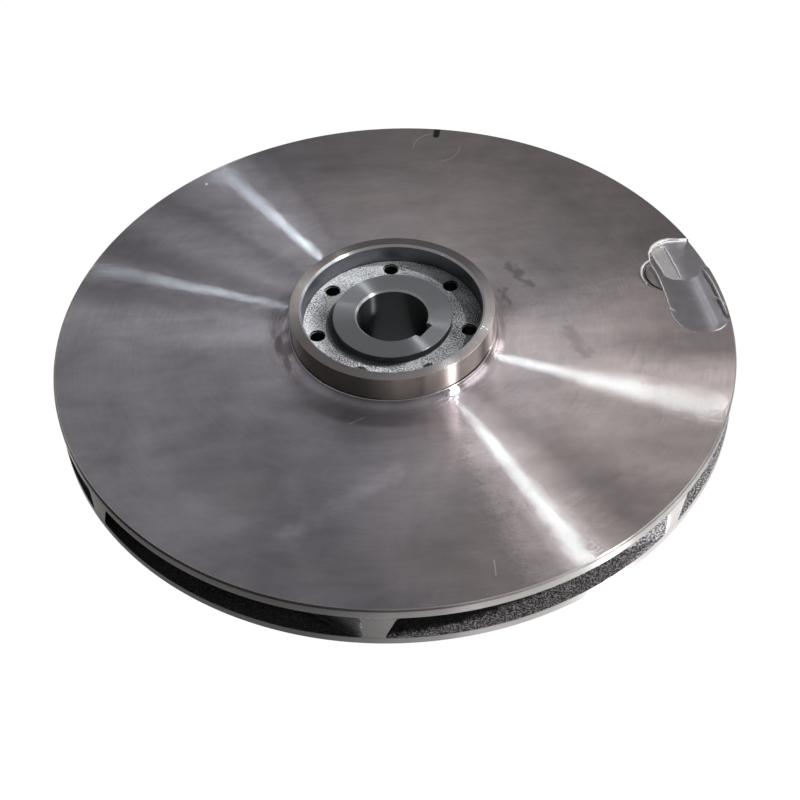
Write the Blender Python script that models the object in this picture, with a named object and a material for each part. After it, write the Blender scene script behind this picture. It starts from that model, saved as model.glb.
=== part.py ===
"""A closed radial pump impeller with seven backward-curved vanes, lying on its suction eye.

Metres, +Z up. The shaft axis is Z and the origin is the middle of the face that the impeller
rests on, which is the face of the suction neck and its wear ring. The drive side looks up.
"""

import math

import bmesh
import bpy
from mathutils import Matrix, Vector

# Rim and shrouds
OUTER_RADIUS = 0.200
FRONT_RISE = 0.052            # rest face up to the lower edge of the rim
FRONT_EDGE = 0.005            # front shroud, thickness at the rim
OUTLET_WIDTH = 0.0175         # clear height of the passages at the rim
BACK_EDGE = 0.0065            # back shroud, thickness at the rim
BACK_ROOT = 0.0110            # back shroud, thickness at the hub flange
RIM_STEP = 0.0010             # small turned step round the top of the rim
RIM_STEP_HEIGHT = 0.0012

# Suction eye
EYE_RADIUS = 0.068
EYE_BEND = 0.026              # radius of the turn from the eye into the passages
NECK_WALL = 0.006
FRONT_CONE = math.radians(6.8)
FRONT_RING_WALL = 0.0075
FRONT_RING_HEIGHT = 0.015

# Hub
BORE_RADIUS = 0.021
BORE_CHAMFER = 0.0010
KEYWAY_WIDTH = 0.012
KEYWAY_DEPTH = 0.0033
KEYWAY_ANGLE = math.radians(-38.2)
BOSS_RADIUS = 0.035
BOSS_RISE = 0.0136            # boss face above the back shroud's face
FLANGE_RISE = 0.0086          # floor of the ring recess above the back shroud's face
NOSE_CHAMFER = 0.002
NOSE_DROP = 0.059             # hub's front end below the back shroud's face

# Back wear ring and the shoulder that carries it
RING_INNER_RADIUS = 0.053
RING_WALL = 0.007
RING_RISE = 0.021             # ring's top face above the back shroud's face
RING_CHAMFER = 0.0013
RING_EDGE = 0.0004            # broken outer edges
SEAT_RISE = 0.0048            # ring's seat above the back shroud's face
SHOULDER_LEDGE = 0.001        # shoulder beyond the ring's outer face
SHOULDER_SPREAD = 0.0074      # reach of the hollow fillet below the seat

# Balance holes, between the nose and the wear ring
HOLE_COUNT = 7
HOLE_RADIUS = 0.0044
HOLE_TO_RING = 0.0033         # metal left outside each hole, up to the ring's inner face
HOLE_TO_NOSE = 0.0029         # room between each hole and the nose
HOLE_START = math.radians(38.2)

# Vanes
VANE_COUNT = 7
VANE_START = math.radians(-96.5)      # edge of the first tip on the rim
VANE_ANGLE = math.radians(25.0)       # between the vane and the rim's tangent
VANE_THICKNESS = 0.0065
TIP_THICKNESS_BACK = 0.0078           # at the back shroud
TIP_THICKNESS_FRONT = 0.0047          # at the front shroud
TIP_BLEND = 0.040                     # radial depth over which the tip's shape fades
INLET_AFTER_EYE = 0.008               # inlet edge beyond the eye, at the front shroud
INLET_AFTER_HUB = 0.007               # inlet edge beyond the hub flange, at the back shroud
INLET_TAPER = 0.45

# Balance milling in the back shroud, cut with one end mill: depth in from the rim, and direction
MILL_RADIUS = 0.016
SLOT_DEPTH = 0.0018
SLOT_START = (0.0180, math.radians(15.95))
SLOT_END = (0.0187, math.radians(1.26))
POCKET_DEPTH = 0.0027
POCKET_START = (0.0167, math.radians(16.80))
POCKET_END = (0.0061, math.radians(17.41))

# Fits and smoothness
FIT_GAP = 0.0003
RIM_SEGMENTS = 84
HUB_SEGMENTS = 56
HOLE_SEGMENTS = 16
ARC_STEPS = 5
VANE_STATIONS = 15
CUT_MARGIN = 0.004

# Heights that follow from the sizes above
FRONT_FLOOR_Z = FRONT_RISE + FRONT_EDGE
BACK_CEILING_Z = FRONT_FLOOR_Z + OUTLET_WIDTH
BACK_FACE_Z = BACK_CEILING_Z + BACK_EDGE
SEAT_Z = BACK_FACE_Z + SEAT_RISE
RING_OUTER_RADIUS = RING_INNER_RADIUS + RING_WALL
FLANGE_RADIUS = RING_INNER_RADIUS - FIT_GAP
SHOULDER_RADIUS = RING_OUTER_RADIUS + SHOULDER_LEDGE
NECK_RADIUS = EYE_RADIUS + NECK_WALL
HOLE_CIRCLE = RING_INNER_RADIUS - HOLE_TO_RING - HOLE_RADIUS
NOSE_RADIUS = HOLE_CIRCLE - HOLE_RADIUS - HOLE_TO_NOSE
VANE_EYE_RADIUS = EYE_RADIUS + INLET_AFTER_EYE
VANE_HUB_RADIUS = RING_INNER_RADIUS + INLET_AFTER_HUB


def remove_all_objects():
    for item in list(bpy.data.objects):
        bpy.data.objects.remove(item, do_unlink=True)


def metal(name, colour, roughness):
    """A plain metal with the part's colour and polish."""
    material = bpy.data.materials.new(name)
    material.use_nodes = True
    shader = material.node_tree.nodes["Principled BSDF"]
    shader.inputs["Base Color"].default_value = (*colour, 1.0)
    shader.inputs["Roughness"].default_value = roughness
    shader.inputs["Metallic"].default_value = 1.0
    material.diffuse_color = (*colour, 1.0)
    return material


def add_object(name, bm, material):
    """Put a finished bmesh in the scene as one object with outward faces."""
    bmesh.ops.remove_doubles(bm, verts=bm.verts, dist=1e-7)
    bmesh.ops.recalc_face_normals(bm, faces=bm.faces)
    mesh = bpy.data.meshes.new(name)
    bm.to_mesh(mesh)
    bm.free()
    mesh.shade_smooth()
    mesh.set_sharp_from_angle(angle=math.radians(30))
    item = bpy.data.objects.new(name, mesh)
    if material:
        mesh.materials.append(material)
    bpy.context.scene.collection.objects.link(item)
    return item


def arc(centre, radii, start, end, steps=ARC_STEPS):
    """Points (radius, height) on an arc, from one angle to the other."""
    points = []
    for i in range(steps + 1):
        angle = start + (end - start) * i / steps
        points.append((centre[0] + radii[0] * math.cos(angle), centre[1] + radii[1] * math.sin(angle)))
    return points


def turned(name, profile, segments, material):
    """Spin a closed profile of (radius, height) points round the shaft axis."""
    bm = bmesh.new()
    ring = [bm.verts.new((radius, 0.0, height)) for radius, height in profile]
    edges = [bm.edges.new((ring[i - 1], ring[i])) for i in range(len(ring))]
    bmesh.ops.spin(bm, geom=ring + edges, cent=(0, 0, 0), axis=(0, 0, 1), dvec=(0, 0, 0),
                   angle=math.tau, steps=segments, use_merge=True, use_duplicate=False)
    return add_object(name, bm, material)


def cutter(name, bm):
    item = add_object(name, bm, None)
    item.hide_render = True
    item.display_type = "WIRE"
    return item


def cut(item, tool):
    modifier = item.modifiers.new(tool.name, "BOOLEAN")
    modifier.operation = "DIFFERENCE"
    modifier.solver = "EXACT"
    modifier.object = tool


def ceiling_height(radius):
    """Passage side of the back shroud, a shallow cone from the rim to the hub flange."""
    share = (OUTER_RADIUS - radius) / (OUTER_RADIUS - FLANGE_RADIUS)
    return BACK_FACE_Z - BACK_EDGE - (BACK_ROOT - BACK_EDGE) * share


def eye_bend_centre():
    """Middle of the arc that turns the eye's wall into the passage floor."""
    end_radius = EYE_RADIUS + EYE_BEND * (1 - math.sin(FRONT_CONE))
    end_height = FRONT_FLOOR_Z - (OUTER_RADIUS - end_radius) * math.tan(FRONT_CONE)
    return EYE_RADIUS + EYE_BEND, end_height - EYE_BEND * math.cos(FRONT_CONE)


def eye_arc(radius):
    """Arc of the given radius round the eye bend, from the neck up to the cone."""
    return arc(eye_bend_centre(), (radius, radius), math.pi, math.pi / 2 + FRONT_CONE, ARC_STEPS + 1)


def floor_height(radius):
    """Passage side of the front shroud at a radius, on the same straight runs as its solid."""
    line = eye_arc(EYE_BEND) + [(OUTER_RADIUS, FRONT_FLOOR_Z)]
    for (r0, z0), (r1, z1) in zip(line, line[1:]):
        if radius <= r1:
            return z0 + (z1 - z0) * (radius - r0) / (r1 - r0)
    return FRONT_FLOOR_Z


def make_hub():
    """Boss, recess floor and nose, with the bore, keyway and balance holes."""
    nose_z = BACK_FACE_Z - NOSE_DROP
    flange_z = BACK_FACE_Z + FLANGE_RISE
    boss_z = BACK_FACE_Z + BOSS_RISE
    fillet = FLANGE_RADIUS - NOSE_RADIUS
    fillet_centre = (FLANGE_RADIUS, ceiling_height(FLANGE_RADIUS) - fillet)
    profile = [
        (BORE_RADIUS, nose_z + BORE_CHAMFER),
        (BORE_RADIUS + BORE_CHAMFER, nose_z),
        (NOSE_RADIUS - NOSE_CHAMFER, nose_z),
        (NOSE_RADIUS, nose_z + NOSE_CHAMFER),
        *arc(fillet_centre, (fillet, fillet), math.pi, math.pi / 2),
        (FLANGE_RADIUS, flange_z),
        (BOSS_RADIUS, flange_z),
        (BOSS_RADIUS, boss_z),
        (BORE_RADIUS + BORE_CHAMFER, boss_z),
        (BORE_RADIUS, boss_z - BORE_CHAMFER),
    ]
    hub = turned("hub", profile, HUB_SEGMENTS, metal("hub_iron", (0.36, 0.35, 0.34), 0.42))
    cut(hub, keyway_cutter(nose_z, boss_z))
    cut(hub, balance_hole_cutter(nose_z, flange_z))
    return hub


def keyway_cutter(bottom, top):
    """A bar from the shaft axis out to the keyway's flat bottom, with its parallel sides."""
    size = Vector((BORE_RADIUS + KEYWAY_DEPTH, KEYWAY_WIDTH, top - bottom + 2 * CUT_MARGIN))
    middle = Vector((size.x / 2, 0.0, (top + bottom) / 2))
    place = Matrix.Rotation(KEYWAY_ANGLE, 4, "Z") @ Matrix.Translation(middle) @ Matrix.Diagonal((*size, 1.0))
    bm = bmesh.new()
    bmesh.ops.create_cube(bm, size=1.0, matrix=place)
    return cutter("keyway_cutter", bm)


def balance_hole_cutter(bottom, top):
    bm = bmesh.new()
    height = top - bottom + 2 * CUT_MARGIN
    for i in range(HOLE_COUNT):
        angle = HOLE_START + math.tau * i / HOLE_COUNT
        middle = (HOLE_CIRCLE * math.cos(angle), HOLE_CIRCLE * math.sin(angle), (top + bottom) / 2)
        bmesh.ops.create_cone(bm, cap_ends=True, segments=HOLE_SEGMENTS, radius1=HOLE_RADIUS,
                              radius2=HOLE_RADIUS, depth=height, matrix=Matrix.Translation(middle))
    return cutter("balance_hole_cutter", bm)


def make_back_shroud():
    """The flat disc with its rim step, ring seat, hollow fillet and balance milling."""
    foot = SHOULDER_RADIUS + SHOULDER_SPREAD
    step_radius = OUTER_RADIUS - RIM_STEP
    profile = [
        (RING_INNER_RADIUS, ceiling_height(RING_INNER_RADIUS)),
        (OUTER_RADIUS, ceiling_height(OUTER_RADIUS)),
        (OUTER_RADIUS, BACK_FACE_Z - RIM_STEP_HEIGHT),
        (step_radius, BACK_FACE_Z - RIM_STEP_HEIGHT),
        (step_radius, BACK_FACE_Z),
        *arc((foot, SEAT_Z), (SHOULDER_SPREAD, SEAT_RISE), math.tau * 0.75, math.pi),
        (RING_INNER_RADIUS, SEAT_Z),
    ]
    shroud = turned("back_shroud", profile, RIM_SEGMENTS, metal("turned_iron", (0.40, 0.37, 0.35), 0.33))
    cut(shroud, mill_cutter("slot_cutter", SLOT_START, SLOT_END, SLOT_DEPTH))
    cut(shroud, mill_cutter("pocket_cutter", POCKET_START, POCKET_END, POCKET_DEPTH))
    return shroud


def rim_place(inset, direction):
    """A place on the back face, by its depth in from the rim and its direction from the axis."""
    radius = OUTER_RADIUS - inset
    return Vector((radius * math.cos(direction), radius * math.sin(direction)))


def mill_cutter(name, start, end, depth):
    """The volume that the end mill sweeps between two places on the back face."""
    start = rim_place(*start)
    end = rim_place(*end)
    heading = math.atan2(end.y - start.y, end.x - start.x)
    outline = []
    for centre, turn in ((end, heading - math.pi / 2), (start, heading + math.pi / 2)):
        for x, y in arc(centre, (MILL_RADIUS, MILL_RADIUS), turn, turn + math.pi, 2 * ARC_STEPS):
            outline.append((x, y, BACK_FACE_Z - depth))
    bm = bmesh.new()
    floor = bm.faces.new([bm.verts.new(point) for point in outline])
    grown = bmesh.ops.extrude_face_region(bm, geom=[floor])
    top = [v for v in grown["geom"] if isinstance(v, bmesh.types.BMVert)]
    bmesh.ops.translate(bm, vec=(0, 0, depth + CUT_MARGIN), verts=top)
    return cutter(name, bm)


def make_front_shroud():
    """The cone under the vanes, turning down into the neck of the suction eye."""
    profile = [
        (EYE_RADIUS, 0.0),
        (NECK_RADIUS, 0.0),
        *eye_arc(EYE_BEND - NECK_WALL),
        (OUTER_RADIUS, FRONT_RISE),
        (OUTER_RADIUS, FRONT_FLOOR_Z),
        *reversed(eye_arc(EYE_BEND)),
    ]
    return turned("front_shroud", profile, RIM_SEGMENTS, metal("cast_iron", (0.33, 0.32, 0.31), 0.55))


def make_back_wear_ring():
    """The ring pressed over the hub flange, down on the shoulder."""
    top = BACK_FACE_Z + RING_RISE
    profile = [
        (RING_INNER_RADIUS, SEAT_Z),
        (RING_OUTER_RADIUS - RING_EDGE, SEAT_Z),
        (RING_OUTER_RADIUS, SEAT_Z + RING_EDGE),
        (RING_OUTER_RADIUS, top - RING_EDGE),
        (RING_OUTER_RADIUS - RING_EDGE, top),
        (RING_INNER_RADIUS + RING_CHAMFER, top),
        (RING_INNER_RADIUS, top - RING_CHAMFER),
    ]
    return turned("back_wear_ring", profile, HUB_SEGMENTS, metal("ring_iron", (0.42, 0.40, 0.38), 0.30))


def make_front_wear_ring():
    """The ring round the suction neck, level with the neck's face."""
    inner = NECK_RADIUS + FIT_GAP
    outer = inner + FRONT_RING_WALL
    profile = [
        (inner, 0.0),
        (outer - RING_EDGE, 0.0),
        (outer, RING_EDGE),
        (outer, FRONT_RING_HEIGHT - RING_EDGE),
        (outer - RING_EDGE, FRONT_RING_HEIGHT),
        (inner, FRONT_RING_HEIGHT),
    ]
    return turned("front_wear_ring", profile, HUB_SEGMENTS, metal("front_ring_iron", (0.42, 0.40, 0.38), 0.30))


def vane_thickness(radius, tip_thickness):
    """Thickness across the vane, which changes to the tip's own near the rim."""
    depth = max(0.0, 1.0 - (OUTER_RADIUS - radius) / TIP_BLEND)
    return VANE_THICKNESS + (tip_thickness - VANE_THICKNESS) * depth


def vane_edge(share, start, end_radius, tip_thickness, height):
    """The two corners of a vane's cross-section at one shroud, as points."""
    radius = OUTER_RADIUS + (end_radius - OUTER_RADIUS) * share
    leading = start - math.log(OUTER_RADIUS / radius) / math.tan(VANE_ANGLE)
    width = vane_thickness(radius, tip_thickness) / (radius * math.sin(VANE_ANGLE))
    if radius == end_radius:
        width *= INLET_TAPER
    corners = []
    for angle in (leading, leading + width):
        corners.append((radius * math.cos(angle), radius * math.sin(angle), height(radius)))
    return corners


def make_vane(name, start):
    """One backward-curved vane, a fit gap clear of both shrouds."""
    def under_back(radius):
        return ceiling_height(radius) - FIT_GAP

    def over_front(radius):
        return floor_height(radius) + FIT_GAP

    bm = bmesh.new()
    sections = []
    for i in range(VANE_STATIONS):
        share = math.sin(math.pi / 2 * i / (VANE_STATIONS - 1))
        back = vane_edge(share, start, VANE_HUB_RADIUS, TIP_THICKNESS_BACK, under_back)
        front = vane_edge(share, start, VANE_EYE_RADIUS, TIP_THICKNESS_FRONT, over_front)
        sections.append([bm.verts.new(point) for point in (back[0], back[1], front[1], front[0])])
    for near, far in zip(sections, sections[1:]):
        for i in range(4):
            bm.faces.new((near[i - 1], near[i], far[i], far[i - 1]))
    bm.faces.new(sections[0])
    bm.faces.new(sections[-1])
    return add_object(name, bm, metal(name + "_iron", (0.30, 0.29, 0.28), 0.60))


def make_impeller():
    make_hub()
    make_back_shroud()
    make_front_shroud()
    make_back_wear_ring()
    make_front_wear_ring()
    for i in range(VANE_COUNT):
        make_vane("vane_%d" % (i + 1), VANE_START + math.tau * i / VANE_COUNT)


remove_all_objects()
make_impeller()
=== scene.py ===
"""Looks of the pump impeller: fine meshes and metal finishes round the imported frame.

Metres, +Z up, in the frame of the solids. Every node is replaced by a finer mesh of the same size.
"""

import math

import bpy
import numpy as np
from mathutils import Matrix, Vector, noise


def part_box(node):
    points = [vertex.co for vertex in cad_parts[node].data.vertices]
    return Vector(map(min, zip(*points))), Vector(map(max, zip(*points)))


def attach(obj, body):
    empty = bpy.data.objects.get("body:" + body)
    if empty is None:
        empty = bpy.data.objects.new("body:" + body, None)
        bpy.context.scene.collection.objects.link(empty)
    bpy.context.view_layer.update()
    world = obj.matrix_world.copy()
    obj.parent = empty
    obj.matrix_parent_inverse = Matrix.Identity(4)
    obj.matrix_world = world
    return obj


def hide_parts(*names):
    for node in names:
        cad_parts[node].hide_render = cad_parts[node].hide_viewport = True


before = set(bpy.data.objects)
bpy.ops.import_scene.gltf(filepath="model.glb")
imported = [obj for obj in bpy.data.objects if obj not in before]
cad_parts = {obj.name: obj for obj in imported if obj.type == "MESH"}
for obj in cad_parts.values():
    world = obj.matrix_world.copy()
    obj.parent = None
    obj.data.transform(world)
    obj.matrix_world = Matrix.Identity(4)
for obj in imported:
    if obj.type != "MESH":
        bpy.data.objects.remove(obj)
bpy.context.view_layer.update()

MM = 0.001

# Sizes read from the frame
OUTER_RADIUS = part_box("back_shroud")[1].x
SEAT_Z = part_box("back_shroud")[1].z
FRONT_FLOOR_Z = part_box("front_shroud")[1].z
RING_TOP_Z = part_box("back_wear_ring")[1].z
RING_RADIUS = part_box("back_wear_ring")[1].x
NOSE_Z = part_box("hub")[0].z
BOSS_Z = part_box("hub")[1].z
FLANGE_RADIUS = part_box("hub")[1].x
FRONT_RING_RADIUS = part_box("front_wear_ring")[1].x
FRONT_RING_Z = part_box("front_wear_ring")[1].z

# Sizes that repeat the solids' own
BACK_FACE_Z = SEAT_Z - 4.8 * MM
CEILING_Z = BACK_FACE_Z - 6.5 * MM
RIM_LOW_Z = FRONT_FLOOR_Z - 5.0 * MM
RIM_STEP = 1.0 * MM
RIM_STEP_HEIGHT = 1.2 * MM
CEILING_DROP = 4.5 * MM
FLOOR_Z = BACK_FACE_Z + 8.6 * MM
BORE_RADIUS = 21.0 * MM
KEYWAY_WIDTH = 12.0 * MM
KEYWAY_DEPTH = 3.3 * MM
KEYWAY_ANGLE = math.radians(-38.2)
BOSS_RADIUS = 35.0 * MM
NOSE_RADIUS = 38.0 * MM
RING_INNER_RADIUS = 53.0 * MM
RING_CHAMFER = 1.3 * MM
SHOULDER_RADIUS = RING_RADIUS + 1.0 * MM
SHOULDER_SPREAD = 7.4 * MM
HOLE_RADIUS = 4.4 * MM
HOLE_CIRCLE = 45.3 * MM
HOLE_START = math.radians(38.2)
NEAR_HOLES_Y = -0.7 * HOLE_CIRCLE
COUNT = 7
PITCH = math.tau / COUNT
EYE_RADIUS = 68.0 * MM
EYE_BEND = 26.0 * MM
NECK_RADIUS = 74.0 * MM
FIT_GAP = 0.3 * MM
FRONT_CONE = math.radians(6.8)
VANE_START = math.radians(-96.5)
VANE_ANGLE = math.radians(25.0)
VANE_THICKNESS = 6.5 * MM
TIP_BACK = 7.8 * MM
TIP_FRONT = 4.7 * MM
TIP_BLEND = 40.0 * MM
VANE_EYE_RADIUS = 76.0 * MM
VANE_HUB_RADIUS = 60.0 * MM
MILL_RADIUS = 16.0 * MM
SLOT_DEPTH = 1.8 * MM
POCKET_DEPTH = 2.7 * MM

# Worn edges, a little wider than the solids' own
BORE_CHAMFER = 1.2 * MM
MOUTH_SPREAD = 0.35 * MM

# Milling in more detail than the solids have; arcs are a middle and a radius
MILLED_AREA = ((178.0 * MM, 32.0 * MM), 56.0 * MM)
PLUNGE = ((167.8 * MM, 39.1 * MM), 15.7 * MM)
PLUNGE_DEPTH = 1.1 * MM
POCKET_MIDDLE = (175.5 * MM, 53.0 * MM)
POCKET_NEAR = ((177.4 * MM, 49.8 * MM), 14.9 * MM)
POCKET_FAR = ((175.7 * MM, 54.4 * MM), 16.6 * MM)
POCKET_OUT = ((177.4 * MM, 57.5 * MM), (195.0 * MM, 57.5 * MM), 13.5 * MM)
FIRST_LANE = ((162.0 * MM, 59.7 * MM), (167.3 * MM, 39.4 * MM))
SECOND_LANE = ((171.0 * MM, 68.1 * MM), (177.1 * MM, 35.7 * MM))
LANE_DEPTH = 2.3 * MM
BEAD_RADIUS = 0.75 * MM
SLOT_PATH = ((179.5 * MM, 50.0 * MM), (186.0 * MM, 4.0 * MM))
SLOT_FAR = ((175.0 * MM, 50.0 * MM), MILL_RADIUS)
SLOT_NEAR = ((183.0 * MM, 4.5 * MM), 17.4 * MM)

# Corners along the slot's sides (mm): the left from far to near, the right from near to far
SLOT_LEFT = (
    (159.2, 53.0), (160.2, 47.0), (161.8, 41.7), (163.2, 33.0), (163.9, 25.8), (164.9, 16.2), (165.6, 5.4),
)
SLOT_RIGHT = ((198.1, 1.0), (196.5, 14.8), (194.3, 30.4), (191.0, 43.5), (187.0, 60.0))

# Smoothness of the meshes
RIM_SEGMENTS = 588
HUB_SEGMENTS = 336
ROUND_STEPS = 3
VANE_STATIONS = 70
VANE_ROWS = 14
ROOT_FILLET = 2.2 * MM

# Seed of the noise, so that the beads stray the same way in each run
BEAD_SEED = 1

# Lamps: name, azimuth and elevation, distance, size, power, colour, whether the metal mirrors it
WHITE = (1.0, 1.0, 1.0)
LAMP_BLUE = (0.82, 1.0, 1.0)
LAMPS = (
    ("key_high", (2.0, 65.0), 2.6, 0.07, 1.25, LAMP_BLUE, True),
    ("key_side", (42.0, 42.5), 1.5, 0.040, 0.28, LAMP_BLUE, True),
    ("glow_high", (12.0, 66.5), 2.4, 0.7, 1.3, WHITE, True),
    ("glow_side", (46.0, 43.0), 1.8, 1.2, 1.6, WHITE, True),
    ("recess", (24.0, 44.0), 1.5, 0.10, 24.0, WHITE, False),
    ("outlets", (-42.0, 9.0), 1.5, 0.30, 16.0, WHITE, False),
    ("window", (-8.0, 20.0), 1.6, 0.8, 3.0, WHITE, True),
    ("low_front", (-33.0, 20.0), 2.0, 0.26, 16.0, WHITE, True),
    ("low_side", (28.0, 20.0), 2.0, 0.50, 1.5, WHITE, True),
)
LAMP_TARGET = (0.0, 0.0, 0.08)
ROOM_LIGHT = 0.26
FLOOR_GLOW = 1.02

# Finish of the turned face
FACE_WARM = (0.50, 0.435, 0.43)
FACE_COOL = (0.40, 0.377, 0.42)
STAIN_BROWN = (0.13, 0.10, 0.085)
FACE_ROUGHNESS = 0.16
# Slopes of the tool lines; a pair holds those of the near and of the far half
FACE_SLOPES = ((-0.20, -0.76), (-0.12, -0.63), 0.12, 0.24, 0.36)
FAR_AZIMUTH = 90.0
# Cosines towards the far azimuth between which the near half passes into the far one
HALVES = (-0.30, 0.25)
FACE_WAVER = 0.12
FACE_GRIT = 0.07

# Painted light and shade on the face, broad by side and narrow along the streaks: azimuth, cosines from
# none to full, gain, radii from none to full (mm)
FACE_PAINTED_LIGHT = (
    (205.0, 0.70, 0.95, 1.45, 115.0, 165.0),
    (322.0, 0.94, 0.99, 0.86, 65.0, 90.0),
    (60.0, 0.30, 0.90, 1.15, 90.0, 60.0),
    (122.5, 0.975, 0.997, 0.80, 60.0, 75.0),
    (158.5, 0.975, 0.997, 0.62, 60.0, 75.0),
    (124.0, 0.990, 0.999, 1.30, 150.0, 180.0),
    (278.0, 0.80, 0.97, 1.14, 75.0, 110.0),
    (332.0, 0.94, 0.99, 1.18, 100.0, 150.0),
    (-1.0, 0.97, 0.995, 0.92, 100.0, 150.0),
    (345.0, 0.985, 0.999, 0.88, 130.0, 165.0),
    (236.0, 0.88, 0.98, 0.83, 170.0, 150.0),
    (159.5, 0.9960, 0.9995, 1.40, 160.0, 185.0),
    (-22.3, 0.9960, 0.9992, 1.25, 90.0, 150.0),
    (-61.5, 0.9960, 0.9992, 1.30, 130.0, 170.0),
)

# Azimuths of the near streaks, where glints on the grains are painted into the colour
PAINTED_GLINT_AZIMUTHS = (-61.3, -21.8)

# Rings that the tool left at the foot of the hollow: radius (mm), gain
FACE_RIDGES = ((71.5, 1.25), (75.5, 0.85), (79.5, 1.15))

# Painted shade in the recess, in the corner at the boss: azimuth, cosines from none to full, radii from
# full to none (mm), depth
RECESS_PAINTED_SHADE = (
    (215.0, 0.2, 0.8, 37.0, 39.5, 0.80),
    (185.0, 0.4, 0.9, 41.0, 51.0, 0.58),
    (45.0, 0.6, 0.95, 40.0, 44.0, 0.50),
)

# Stains, wipes and scratches on the face: from, to, half width, soft edge (mm), gain
MARKS = (
    ((73.0, 54.0), (84.0, 35.0), 0.6, 4.0, 0.62),
    ((103.0, -6.0), (110.0, -27.0), 0.6, 6.0, 0.78),
    ((67.0, 33.0), (69.5, 18.0), 0.2, 2.2, 0.66),
    ((-57.6, -146.3), (-0.8, -109.2), 0.5, 8.0, 1.20),
    ((-62.0, -150.0), (-58.0, -147.0), 1.0, 12.0, 1.22),
    ((-26.4, -72.2), (-18.7, -68.3), 0.25, 0.35, 1.9),
    ((46.4, -171.2), (46.7, -180.7), 0.2, 0.3, 1.7),
    ((38.7, 67.4), (39.3, 67.4), 0.5, 0.5, 2.6),
    ((-119.2, 147.5), (-118.7, 147.5), 0.5, 0.5, 2.6),
    ((34.9, 188.2), (36.2, 195.4), 1.7, 0.8, 0.10),
)
# Middle and radius (mm) of a scratched circle, and the azimuth of one of its two clear sides
SCRATCHED_CIRCLE = ((34.5, 175.5), 15.5, 138.0)

# Slopes of the tool lines on the smaller turned surfaces
PLAIN_SLOPES = (-0.35, 0.0, 0.35)
RIM_SLOPES = (-0.9, -0.3, 0.2)

# Painted light and shade on the turned metals: azimuth, cosines from none to full, gain
RIM_PAINTED_LIGHT = ((192.0, 0.93, 0.985, 1.6), (-73.0, 0.975, 0.995, 1.6), (237.0, 0.78, 0.975, 0.28))
RING_TOP_PAINTED_LIGHT = (
    (-30.0, 0.3, 0.95, 1.5),
    (225.0, 0.7, 0.98, 0.72),
    (80.0, 0.3, 0.9, 0.62),
    (170.0, 0.8, 0.98, 1.35),
)
RING_SIDE_PAINTED_LIGHT = (
    (233.0, 0.79, 0.98, 0.28),
    (180.0, 0.85, 0.98, 1.3),
    (276.0, 0.985, 1.0, 1.35),
    (-68.0, 0.990, 0.9985, 1.8),
    (-24.0, 0.990, 0.9995, 1.6),
    (-8.0, 0.92, 0.98, 1.5),
)


def arc(centre, radius, start, end, steps):
    """Points (radius, height) along an arc."""
    angles = np.linspace(start, end, steps + 1)
    return [(centre[0] + radius * math.cos(a), centre[1] + radius * math.sin(a)) for a in angles]


def circle(place, radius, steps=96):
    """Points (x, y) round a circle, counter-clockwise."""
    turns = [math.tau * i / steps for i in range(steps)]
    return [(place[0] + radius * math.cos(turn), place[1] + radius * math.sin(turn)) for turn in turns]


def rounded(points, radii):
    """A closed outline with rounded corners, each taking at most a third of its shorter side."""
    result = []
    count = len(points)
    for i in range(count):
        before, here, after = Vector(points[i - 1]), Vector(points[i]), Vector(points[(i + 1) % count])
        back, ahead = before - here, after - here
        reach = min(radii[i], back.length / 3, ahead.length / 3)
        if radii[i] == 0 or abs(back.angle(ahead) - math.pi) < 0.3:
            result.append(tuple(here))
            continue
        start, end = here + back.normalized() * reach, here + ahead.normalized() * reach
        for j in range(ROUND_STEPS + 1):
            t = j / ROUND_STEPS
            result.append(tuple(start * (1 - t) ** 2 + here * 2 * t * (1 - t) + end * t ** 2))
    return result


def mesh_object(name, vertices, faces, sharp=30):
    """A smooth object with sharp edges where its faces meet at more than the sharp angle, in degrees."""
    mesh = bpy.data.meshes.new(name)
    mesh.from_pydata([tuple(v) for v in vertices], [], [tuple(f) for f in faces])
    mesh.validate()
    mesh.update()
    mesh.shade_smooth()
    mesh.set_sharp_from_angle(angle=math.radians(sharp))
    item = bpy.data.objects.new(name, mesh)
    bpy.context.scene.collection.objects.link(item)
    return item


def turned(name, profile, segments):
    """A closed outline of (radius, height) points swept round Z, wound so that its faces look outward."""
    area = sum(a[0] * b[1] - b[0] * a[1] for a, b in zip(profile, profile[1:] + profile[:1]))
    if area < 0:
        profile = profile[::-1]
    angles = np.arange(segments) * math.tau / segments
    radius = np.array([p[0] for p in profile])
    height = np.array([p[1] for p in profile])
    x = np.cos(angles)[:, None] * radius
    y = np.sin(angles)[:, None] * radius
    z = np.broadcast_to(height, x.shape)
    vertices = np.stack([x, y, z], axis=2).reshape(-1, 3)
    count = len(profile)
    i, j = np.meshgrid(np.arange(segments), np.arange(count), indexing="ij")
    i2, j2 = (i + 1) % segments, (j + 1) % count
    corners = [i * count + j, i2 * count + j, i2 * count + j2, i * count + j2]
    return mesh_object(name, vertices, np.stack(corners, axis=2).reshape(-1, 4))


def prism(name, outline, low, high):
    """A closed upright prism on a counter-clockwise outline."""
    count = len(outline)
    vertices = [(x, y, low) for x, y in outline] + [(x, y, high) for x, y in outline]
    faces = [tuple(reversed(range(count))), tuple(range(count, 2 * count))]
    faces += [(i, (i + 1) % count, count + (i + 1) % count, count + i) for i in range(count)]
    return mesh_object(name, vertices, faces)


def capsule(start, end, radius, steps=40):
    """Counter-clockwise outline of the path that a round cutter sweeps."""
    heading = math.atan2(end[1] - start[1], end[0] - start[0])
    outline = arc(end, radius, heading - math.pi / 2, heading + math.pi / 2, steps)
    outline += arc(start, radius, heading + math.pi / 2, heading + math.pi * 1.5, steps)
    return outline


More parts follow.
